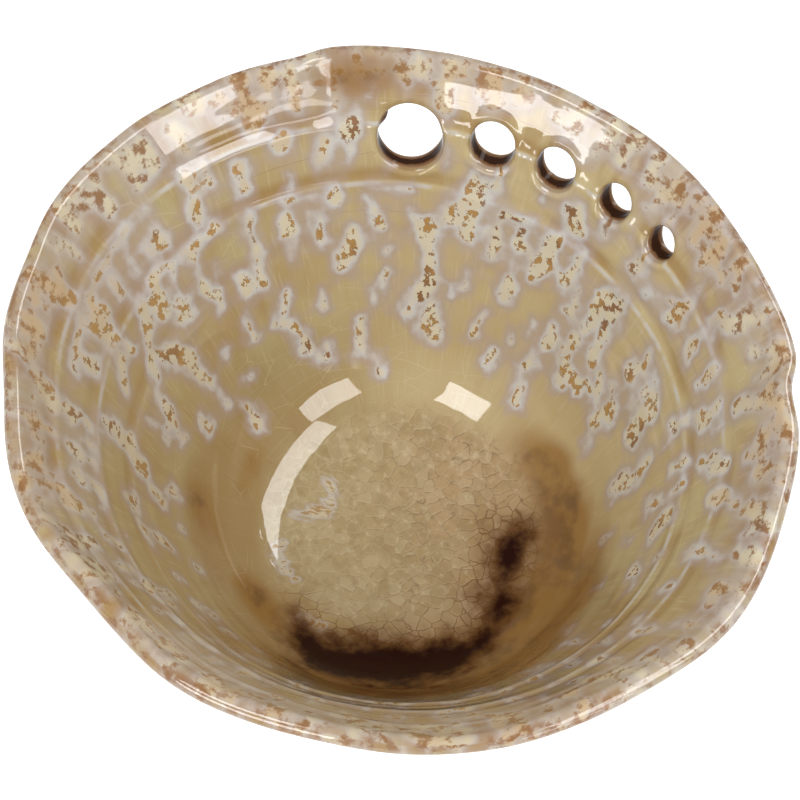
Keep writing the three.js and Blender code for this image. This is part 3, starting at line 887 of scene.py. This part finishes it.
class Graph:
    """Short ways to add nodes to a material or a world, and to set its last node."""

    def __init__(self, owner, last):
        owner.use_nodes = True
        self.tree = owner.node_tree
        self.last = self.tree.nodes[last]

    def put(self, node, key, value):
        if isinstance(value, bpy.types.NodeSocket):
            self.tree.links.new(value, node.inputs[key])
        else:
            node.inputs[key].default_value = value

    def set(self, key, value):
        self.put(self.last, key, value)

    def add(self, kind, inputs=None, **settings):
        node = self.tree.nodes.new(kind)
        for key, value in settings.items():
            setattr(node, key, value)
        for key, value in (inputs or {}).items():
            self.put(node, key, value)
        return node.outputs

    def field(self, name, output="Fac"):
        return self.add("ShaderNodeAttribute", attribute_name=name)[output]

    def place(self, vector, scale):
        return self.add("ShaderNodeMapping", {"Vector": vector, "Scale": scale})["Vector"]

    def millimetres(self):
        return self.place(self.add("ShaderNodeTexCoord")["Object"], (1 / MM, 1 / MM, 1 / MM))

    def math(self, operation, *values):
        return self.add("ShaderNodeMath", dict(enumerate(values)), operation=operation)[0]

    def vector(self, operation, *values):
        return self.add("ShaderNodeVectorMath", dict(enumerate(values)), operation=operation)

    def times(self, product, *others):
        for value in others:
            product = self.math("MULTIPLY", product, value)
        return product

    def plus(self, total, *others):
        for value in others:
            total = self.math("ADD", total, value)
        return total

    def larger(self, a, b):
        return self.math("MAXIMUM", a, b)

    def scaled(self, value, factor, offset):
        return self.math("MULTIPLY_ADD", value, factor, offset)

    def step(self, value, low, high):
        """0 below low and 1 above high, or the other way round where low is larger."""
        inputs = {"Value": value, "From Min": low, "From Max": high}
        return self.add("ShaderNodeMapRange", inputs, interpolation_type="SMOOTHSTEP")["Result"]

    def noise(self, vector, scale, detail=2, roughness=0.5, output="Fac"):
        inputs = {"Vector": vector, "Scale": scale, "Detail": detail, "Roughness": roughness}
        return self.add("ShaderNodeTexNoise", inputs)[output]

    def cracks(self, vector, scale, width):
        """Thin lines between cells, 1 on the line."""
        inputs = {"Vector": vector, "Scale": scale}
        edge = self.add("ShaderNodeTexVoronoi", inputs, feature="DISTANCE_TO_EDGE")["Distance"]
        return self.step(edge, width, 0)

    def cells(self, vector, scale):
        """One random value for each cell."""
        colour = self.add("ShaderNodeTexVoronoi", {"Vector": vector, "Scale": scale})["Color"]
        return self.add("ShaderNodeSeparateColor", {"Color": colour})["Red"]

    def warp(self, vector, scale, amount):
        """The places of a vector, pushed about by a slow noise."""
        wander = self.noise(vector, scale, 1, output="Color")
        centred = self.vector("SUBTRACT", wander, (0.5, 0.5, 0.5))["Vector"]
        return self.vector("MULTIPLY_ADD", centred, (amount, amount, amount), vector)["Vector"]

    def paint(self, share, under, over, strength=1):
        """The colour over laid on the colour under by a share."""
        if strength != 1:
            share = self.times(share, strength)
        return self.add("ShaderNodeMix", {"Factor": share, 6: under, 7: over}, data_type="RGBA")[2]

    def layers(self, colour, *coats):
        """Coats, each a share, a colour and a strength, laid on a colour one after the other."""
        for share, over, strength in coats:
            colour = self.paint(share, colour, over, strength)
        return colour

    def bump(self, height, strength, distance):
        inputs = {"Height": height, "Strength": strength, "Distance": distance}
        self.set("Normal", self.add("ShaderNodeBump", inputs)["Normal"])


def new_material(name):
    material = bpy.data.materials.new(name)
    return material, Graph(material, "Principled BSDF")


KHAKI = srgb(182, 160, 114)
KHAKI_GREEN = srgb(188, 173, 128)
KHAKI_PAINTED_LIGHT = srgb(210, 190, 146)
KHAKI_BROWN = srgb(166, 134, 86)
KHAKI_DEEP_SHADE = srgb(152, 123, 76)
AMBER = srgb(150, 108, 50)
LEDGE_AMBER = srgb(158, 122, 68)
AMBER_DARK = srgb(104, 66, 30)
LAVENDER = srgb(180, 162, 158)
BLUE_WHITE = srgb(208, 209, 212)
CREAM = srgb(219, 208, 178)
PEACH = srgb(206, 178, 138)
OCHRE = srgb(180, 136, 72)
RUST = srgb(140, 95, 56)
RUST_DARK = srgb(98, 64, 42)
POOL_GREEN = srgb(179, 160, 117)
POOL_ROSE = srgb(182, 154, 113)
POOL_SHADE = srgb(160, 138, 94)
CRACK_DARK = srgb(140, 116, 82)
CRACK_PALE = srgb(214, 200, 168)
NEAR_BLACK = srgb(42, 14, 7)
HOLE_BROWN = srgb(56, 34, 22)
HOLE_TAN = srgb(134, 98, 68)
CLAY = srgb(186, 148, 108)
CLAY_BROWN = srgb(160, 118, 80)
GRIT_DARK = srgb(96, 66, 46)
GRIT_PALE = srgb(214, 190, 158)

# Where a layer of the glaze starts and where it is full, in millimetres below the lip; the third is painted
# shade deep in the bowl
LIP_FADE = (30, 8)
PEACH_FADE = (55, 12)
DEEP_SHADE_FADE = (80, 118)
CREST_FADE = (3.2, 0.6)
# Past the ledge: the amber glass over it and the pale glass on it
OVER_LEDGE = [(-6.5, -2.5), (0.2, -1)]
ON_LEDGE = [(-0.3, 0.5), (2.2, 1)]
# From the edge of a run
HALO_FADE = (4, 0.6)
WHITE_FADE = (1.4, -0.9)
CREAM_FADE = (0.5, -2.2)
SPOT_FADE = (-0.3, -1.2)
RUN_IN_POOL_FADE = (1.5, -0.5)
# Across the bowl: painted light on the far wall, painted shade on the near wall, and the turns of the pool
LIT_FAR_SIDE = (10, 85)
NEAR_SIDE_SHADE = (40, -70)
POOL_ACROSS = (0.72, 0.69, 0)
POOL_TURNS_ROSE = (-30, 25)
POOL_CRACKLED = (0, 60)
# From the edge of the dark crescent, dark brown glaze with painted shade
DARK_AMBER_FADE = (18, 3)
DARK_CRACK_FADE = (16, 5)
DARK_BROWN_FADE = (8, 0)
DARK_DULL_FADE = (3, 0)
DARK_BLACK_FADE = (2.5, -4)
# Cells of the crackle to a millimetre, and the offset of the painted highlight along one side of each crack
CRACKLE = 0.24
LIT_SIDE_OF_CRACK = (0.35, -0.25, 0)


class GlazeFields:
    """What the layers of the glaze share: places, slow noises and distances from edges."""

    def __init__(self, g):
        self.flow = g.field("flow", "Vector")
        self.mm = g.millimetres()
        self.below = g.field("below")
        self.sideways = g.add("ShaderNodeSeparateXYZ", {"Vector": self.flow})["Y"]
        self.near_lip = g.step(self.below, *LIP_FADE)
        self.lit_far_side = g.step(self.sideways, *LIT_FAR_SIDE)
        self.tone = g.noise(self.flow, 0.04, 1)
        self.streaks = g.noise(g.place(self.flow, (1, 1, 0.3)), 0.14, 2)
        self.blot = g.noise(self.flow, 0.3, 3, 0.6)
        self.blotches = g.noise(self.mm, 0.1, 3, 0.6)
        ragged = g.scaled(g.noise(self.flow, 0.13, 1), 6.5, -2.7)
        fine = g.scaled(g.noise(self.flow, 0.4, 2), 1.6, -0.8)
        self.edge = g.plus(g.field("run_edge"), ragged, fine)
        self.dark_edge = g.field("dark_edge")
        self.dark = g.plus(self.dark_edge, g.scaled(g.noise(self.mm, 0.09, 5, 0.62), 18, -9))
        self.bore = g.field("bore")


def khaki_ground(g, at):
    """Khaki with slow changes of tone, faint streaks down the wall and pale hairlines, painted light on the
    far wall and painted shade deep in the bowl.
    """
    fine_streaks = g.noise(g.place(at.flow, (1, 1, 0.1)), 0.9, 1)
    deep = g.times(g.step(at.below, *DEEP_SHADE_FADE), g.scaled(at.lit_far_side, -0.5, 0.6))
    hairlines = g.cracks(g.place(at.flow, (1, 1, 5)), 0.035, 0.01)
    return g.layers(
        KHAKI,
        (g.step(at.tone, 0.35, 0.65), KHAKI_GREEN, 1),
        (g.step(at.streaks, 0.5, 0.75), KHAKI_BROWN, 0.35),
        # painted light: the far wall, which the lamps face, is paler
        (at.lit_far_side, KHAKI_PAINTED_LIGHT, 0.55),
        (g.times(at.near_lip, g.step(at.streaks, 0.38, 0.6)), KHAKI_BROWN, 1),
        (g.step(fine_streaks, 0.55, 0.75), CRACK_PALE, 0.3),
        # painted shade: darker deep in the bowl, less on the lit far side
        (deep, KHAKI_DEEP_SHADE, 1),
        (g.times(hairlines, g.step(at.tone, 0.4, 0.6)), CRACK_PALE, 0.6),
    )


def ledge_glass(g, at, colour):
    """Amber glass pooled over the ledge and a pale line along it."""
    past = g.field("past_ledge")
    ledge = g.field("ledge")
    over, on = (
        g.times(g.step(past, *start), g.step(past, *end), ledge) for start, end in (OVER_LEDGE, ON_LEDGE)
    )
    return g.layers(
        colour,
        (g.times(over, g.step(at.tone, 0.7, 0.4)), LEDGE_AMBER, 0.65),
        (g.times(on, g.step(at.streaks, 0.35, 0.6)), BLUE_WHITE, 0.6),
    )


def pale_runs(g, at, colour):
    """A broad lavender halo, a blue-white edge and cream inside."""
    halo = g.times(g.step(at.edge, *HALO_FADE), g.scaled(at.near_lip, -0.12, 0.62))
    streaked = g.scaled(g.step(at.streaks, 0.35, 0.6), 0.45, 0.55)
    white = g.times(g.step(at.edge, *WHITE_FADE), g.scaled(at.near_lip, -0.45, 0.98), streaked)
    peach = g.times(g.step(at.tone, 0.62, 0.38), g.step(at.below, *PEACH_FADE))
    inner = g.paint(peach, CREAM, PEACH)
    return g.layers(
        colour, (halo, LAVENDER, 1), (white, BLUE_WHITE, 1), (g.step(at.edge, *CREAM_FADE), inner, 0.9),
    )


def run_spots(g, at):
    """Share and colour of ochre and rust spots in the runs, each with a dark rim, softer by the lip."""
    within = g.step(g.scaled(at.near_lip, -0.6, at.edge), *SPOT_FADE)
    grain = g.plus(at.blot, g.scaled(g.noise(at.flow, 2.2, 1), 0.12, -0.06))
    sharp = g.times(g.step(grain, 0.535, 0.555), g.math("SUBTRACT", 1, at.near_lip))
    soft = g.times(g.step(grain, 0.48, 0.62), at.near_lip)
    share = g.times(g.plus(sharp, soft), within, 0.92)
    rusty = g.larger(g.step(at.tone, 0.5, 0.6), g.times(at.near_lip, 0.75))
    rim = g.times(g.step(grain, 0.58, 0.55), g.scaled(at.near_lip, -0.75, 0.75))
    return share, g.paint(rim, g.paint(rusty, OCHRE, RUST), RUST_DARK)


def brown_glaze_and_shade(g, at, colour):
    """Amber and brown glass low on the near side, partly painted shade there."""
    glass_and_shade = g.field("brown")
    brown = g.paint(g.step(g.scaled(glass_and_shade, 0.35, at.blotches), 0.65, 1), AMBER, AMBER_DARK)
    uneven = g.plus(glass_and_shade, g.scaled(at.tone, 0.8, -0.4))
    return g.paint(g.times(g.step(uneven, 0.1, 0.6), g.step(glass_and_shade, 0.05, 0.3)), colour, brown, 0.85)


def crackled_pool(g, at, colour):
    """Greenish glass that turns rose across the well, with painted shade and painted light for a crumpled
    relief, and cracks with a painted highlight along one side.
    """
    across = g.vector("DOT_PRODUCT", at.mm, POOL_ACROSS)["Value"]
    crumple = g.noise(at.mm, 0.35, 4, 0.65)
    wander = g.warp(at.mm, 0.16, 4)
    lit_side = g.vector("ADD", wander, LIT_SIDE_OF_CRACK)["Vector"]
    crackled = g.times(g.step(g.plus(across, g.times(at.blotches, 80)), *POOL_CRACKLED), 0.75)
    near_dark = g.step(at.dark_edge, *DARK_CRACK_FADE)
    broken = g.times(g.plus(g.step(crumple, 0.6, 0.4), 0.15), crackled)
    broken = g.larger(broken, g.times(near_dark, 0.9))
    glass = g.layers(
        POOL_GREEN,
        (g.step(across, *POOL_TURNS_ROSE), POOL_ROSE, 1),
        (g.step(at.blotches, 0.55, 0.35), POOL_SHADE, 0.6),
        # painted shade and painted light of a crumpled relief
        (g.step(crumple, 0.47, 0.36), POOL_SHADE, 0.5),
        (g.step(crumple, 0.55, 0.68), CRACK_PALE, 0.35),
        (g.step(g.cells(wander, CRACKLE), 0.3, 1), CRACK_PALE, 0.2),
        # painted highlight along one side of each crack
        (g.cracks(lit_side, CRACKLE, 0.06), CRACK_PALE, 0.25),
        (g.times(g.cracks(wander, CRACKLE, 0.07), broken), g.paint(near_dark, CRACK_DARK, AMBER_DARK), 1),
    )
    under_runs = g.scaled(g.step(at.edge, *RUN_IN_POOL_FADE), -0.8, 1)
    return g.paint(g.times(g.field("pool"), under_runs), colour, glass)


def dark_glaze_and_shade(g, at, colour):
    """The dark crescent along the near side, feathered at its edge: dark brown glaze with painted shade under
    the near wall.
    """
    return g.layers(
        colour,
        (g.step(at.dark_edge, *DARK_AMBER_FADE), AMBER, 0.35),
        (g.step(at.dark, *DARK_BROWN_FADE), AMBER_DARK, 0.85),
        (g.step(at.dark, *DARK_BLACK_FADE), NEAR_BLACK, 1),
    )


def hole_linings(g, at, colour):
    """A dark line round the mouth, then tan, then brown in patches."""
    mouth = g.times(g.step(at.bore, 0, 0.08), g.step(at.bore, 0.3, 0.12))
    patchy = g.plus(at.bore, g.scaled(at.blot, 0.8, -0.4))
    return g.layers(
        colour,
        (mouth, AMBER_DARK, 0.4),
        (g.step(at.bore, 0.1, 0.35), HOLE_TAN, 1),
        (g.step(patchy, 0.4, 0.85), HOLE_BROWN, 1),
    )


def glaze_material():
    material, g = new_material("running_glaze")
    at = GlazeFields(g)
    colour = pale_runs(g, at, ledge_glass(g, at, khaki_ground(g, at)))
    spot_share, spot_colour = run_spots(g, at)
    thin_crest = g.times(g.step(at.below, *CREST_FADE), g.step(at.blot, 0.47, 0.6))
    colour = g.layers(
        colour,
        (spot_share, spot_colour, 1),
        # painted shade: browner on the near wall, away from the lamps
        (g.step(at.sideways, *NEAR_SIDE_SHADE), KHAKI_BROWN, 0.25),
        (thin_crest, RUST, 0.7),
    )
    for layer in (brown_glaze_and_shade, crackled_pool, dark_glaze_and_shade, hole_linings):
        colour = layer(g, at, colour)
    g.set("Base Color", colour)
    dull = g.larger(g.step(at.dark, *DARK_DULL_FADE), g.step(at.bore, 0.2, 0.5))
    g.set("Specular IOR Level", g.scaled(dull, -0.38, 0.45))
    g.set("Roughness", g.plus(g.scaled(at.tone, 0.04, 0.015), g.times(spot_share, 0.15)))
    g.bump(g.noise(at.mm, 0.12, 1), 0.15, 0.5 * MM)
    return material


def clay_material():
    material, g = new_material("bare_clay")
    mm = g.millimetres()
    colour = g.paint(g.step(g.noise(mm, 0.04, 3), 0.3, 0.7), CLAY, CLAY_BROWN)
    grit = g.noise(mm, 1.3, 2, 0.6)
    colour = g.paint(g.step(grit, 0.62, 0.68), colour, GRIT_DARK)
    g.set("Base Color", g.paint(g.step(grit, 0.36, 0.3), colour, GRIT_PALE, 0.6))
    g.set("Roughness", g.scaled(g.noise(mm, 0.5), 0.2, 0.68))
    inputs = {"Vector": mm, "Scale": 0.16, "Distortion": 1.2, "Detail": 2}
    lines = g.add("ShaderNodeTexWave", inputs, wave_type="RINGS", rings_direction="Z")["Fac"]
    g.bump(g.plus(g.times(lines, 0.5), g.times(g.noise(mm, 1.1, 4, 0.7), 0.8)), 0.6, 0.4 * MM)
    return material


glaze = glaze_material()
bare = clay_material()
for name, piece in pieces.items():
    piece.data.materials.append(bare if name in ("clay", "foot") else glaze)
    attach(piece, "root")
    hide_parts(REPLACED[name])

# Stage: a white floor that keeps the bowl's shadow, and a room that is pale low down and darker overhead

# Metres from the middle to each side
FLOOR_REACH = 4
FLOOR_WHITE = 0.85
FLOOR_GLOW = 0.6
# Height of a direction, from 0 for level to 1 for straight up, and the room's brightness there
ROOM_LOW = (0.2, 0.6)
ROOM_HIGH = (0.65, 0.5)
WHITE = (1, 1, 1, 1)


def white_floor():
    mesh = bpy.data.meshes.new("floor")
    corners = [(x * FLOOR_REACH, y * FLOOR_REACH, 0) for x, y in ((-1, -1), (1, -1), (1, 1), (-1, 1))]
    mesh.from_pydata(corners, [], [(0, 1, 2, 3)])
    material, g = new_material("floor_white")
    g.set("Base Color", (FLOOR_WHITE, FLOOR_WHITE, FLOOR_WHITE, 1))
    g.set("Roughness", 0.9)
    path = g.add("ShaderNodeLightPath")
    seen = g.larger(path["Is Camera Ray"], g.larger(path["Is Glossy Ray"], path["Is Transmission Ray"]))
    g.set("Emission Color", WHITE)
    g.set("Emission Strength", g.times(seen, FLOOR_GLOW))
    mesh.materials.append(material)
    return placed("floor", mesh)


def studio_world():
    world = bpy.data.worlds.new("studio")
    g = Graph(world, "Background")
    direction = g.add("ShaderNodeTexCoord")["Generated"]
    inputs = {
        "Value": g.add("ShaderNodeSeparateXYZ", {"Vector": direction})["Z"],
        "From Min": ROOM_LOW[0], "From Max": ROOM_HIGH[0], "To Min": ROOM_LOW[1], "To Max": ROOM_HIGH[1],
    }
    g.set("Color", WHITE)
    g.set("Strength", g.add("ShaderNodeMapRange", inputs, interpolation_type="SMOOTHSTEP")["Result"])
    return world


floor = white_floor()
bpy.context.scene.world = studio_world()

# Lamps, in metres round the middle of the bowl's mouth

MOUTH_MIDDLE = np.array([0, 0, 0.11])
# Name, azimuth and elevation of both ends, distance, width, watts, and whether only its reflection is seen
LAMPS = [
    ("light_right", (350, 32), (350, 70), 1.3, 0.5, 4.8, False),
    ("light_left", (276, 32), (276, 70), 1.3, 0.5, 4.8, False),
    ("light_overhead", (200, 70), (60, 70), 1.4, 0.6, 2.5, False),
    ("shine_right", (357, 18), (357, 48), 1.3, 0.58, 11, True),
    ("shine_left", (273, 34), (273, 54), 1.3, 0.46, 7.4, True),
    ("shine_strip", (12, 55), (88, 28), 1.3, 0.34, 12, True),
    ("shine_low_right", (334, 4), (358, 4), 1.3, 0.3, 2.5, True),
    ("shine_low_left", (264, 7), (297, 7), 1.3, 0.3, 8, True),
]


def towards(azimuth, elevation, distance):
    """A place in that direction from the middle of the bowl's mouth."""
    a = math.radians(azimuth)
    e = math.radians(elevation)
    direction = np.array([math.cos(e) * math.cos(a), math.cos(e) * math.sin(a), math.sin(e)])
    return direction * distance + MOUTH_MIDDLE


def softbox(name, first, last, width, watts, shines):
    """A long soft lamp between two places, facing the bowl. It either lights the glaze or shines in it."""
    data = bpy.data.lights.new(name, "AREA")
    data.shape = "RECTANGLE"
    data.size = float(np.linalg.norm(last - first))
    data.size_y = width
    data.energy = watts
    lamp = placed(name, data)
    middle = (first + last) / 2
    along = (last - first) / np.linalg.norm(last - first)
    back = middle - MOUTH_MIDDLE
    back = back - along * (back @ along)
    back /= np.linalg.norm(back)
    up = np.cross(back, along)
    rows = [(along[i], up[i], back[i], middle[i]) for i in range(3)]
    lamp.matrix_world = Matrix(rows + [(0, 0, 0, 1)])
    lamp.visible_diffuse = not shines
    lamp.visible_glossy = shines
    lamp.visible_camera = False


for name, first_end, last_end, distance, width, watts, shines in LAMPS:
    softbox(name, towards(*first_end, distance), towards(*last_end, distance), width, watts, shines)

# Camera, fitted to the photograph

CAMERA_AZIMUTH = math.radians(43.8)
CAMERA_ELEVATION = math.radians(61)
CAMERA_DISTANCE = 600
CAMERA_LENS = 97.2
SENSOR_WIDTH = 36
# Height of the rim's middle above the middle of the picture, in pixels
PICTURE_PIXELS = 800
RIM_ABOVE_MIDDLE = 32
CAMERA_DIP = math.atan(RIM_ABOVE_MIDDLE / PICTURE_PIXELS * SENSOR_WIDTH / CAMERA_LENS)

camera_data = bpy.data.cameras.new("camera")
camera_data.lens = CAMERA_LENS
camera_data.sensor_width = SENSOR_WIDTH
camera = placed("camera", camera_data)
away = np.array([
    math.sin(CAMERA_AZIMUTH) * math.cos(CAMERA_ELEVATION),
    -math.cos(CAMERA_AZIMUTH) * math.cos(CAMERA_ELEVATION),
    math.sin(CAMERA_ELEVATION),
])
camera.location = (np.array([0, 0, HEIGHT]) + CAMERA_DISTANCE * away) * MM
camera.rotation_euler = (math.pi / 2 - CAMERA_ELEVATION - CAMERA_DIP, 0, CAMERA_AZIMUTH)
bpy.context.scene.camera = camera

bpy.context.scene.view_settings.view_transform = "Standard"
